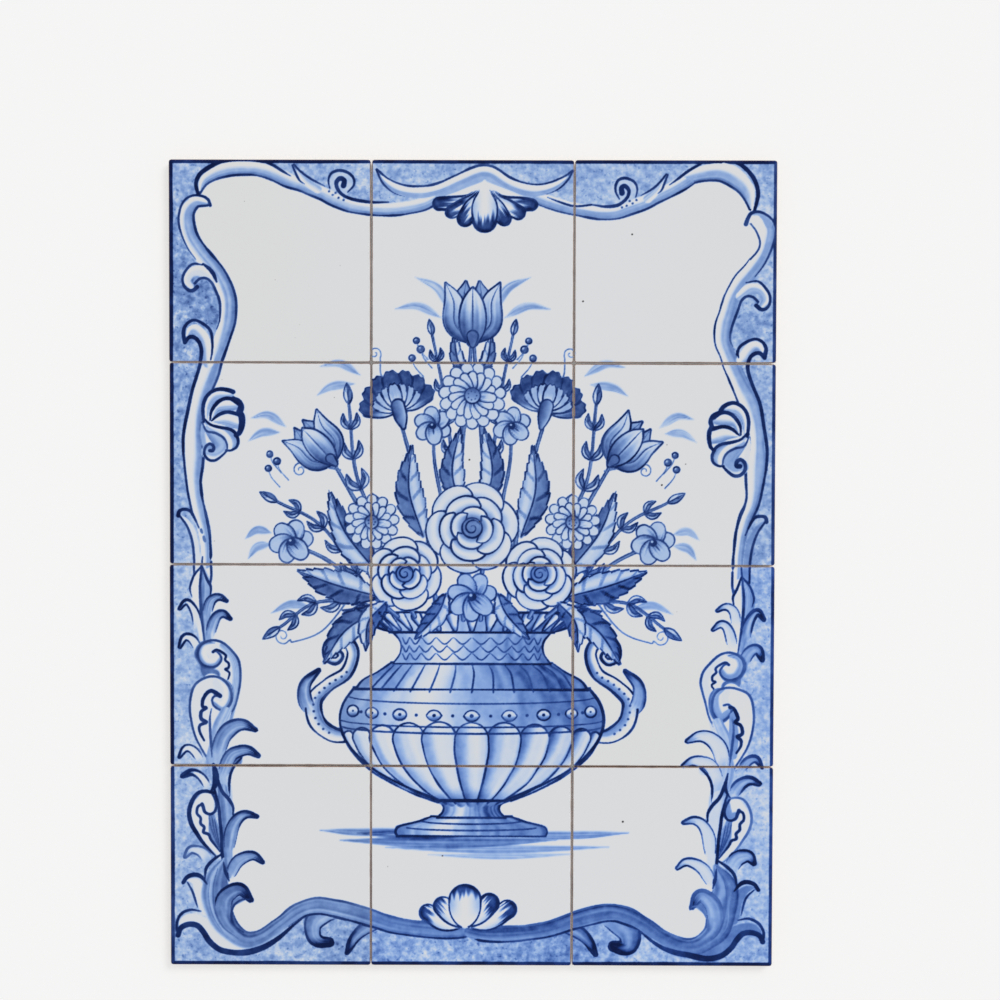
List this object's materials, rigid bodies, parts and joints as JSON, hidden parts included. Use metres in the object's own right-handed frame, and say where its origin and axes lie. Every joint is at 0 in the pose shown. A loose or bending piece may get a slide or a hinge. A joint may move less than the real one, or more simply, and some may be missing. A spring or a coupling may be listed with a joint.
{
  "type": "azulejo tile panel",
  "caption": "Square glazed earthenware tiles laid edge to edge as one panel, with a cobalt blue painted picture and border on pale glaze and a keyed back for bedding.",
  "frame": {"origin": "middle of the panel, on the plane that the tile backs rest on", "axes": "+X to the right of the picture, +Y to its top, +Z out of the glazed face"},
  "size_m": [0.4218, 0.5624, 0.008],
  "materials": {
    "painted_glaze": "glossy pale glaze with cobalt blue painting, on a buff earthenware body"
  },
  "bodies": {
    "root": {"tile_top_left": "painted_glaze", "tile_top_centre": "painted_glaze", "tile_top_right": "painted_glaze", "tile_upper_left": "painted_glaze", "tile_upper_centre": "painted_glaze", "tile_upper_right": "painted_glaze", "tile_lower_left": "painted_glaze", "tile_lower_centre": "painted_glaze", "tile_lower_right": "painted_glaze", "tile_bottom_left": "painted_glaze", "tile_bottom_centre": "painted_glaze", "tile_bottom_right": "painted_glaze"}
  },
  "joints": []
}
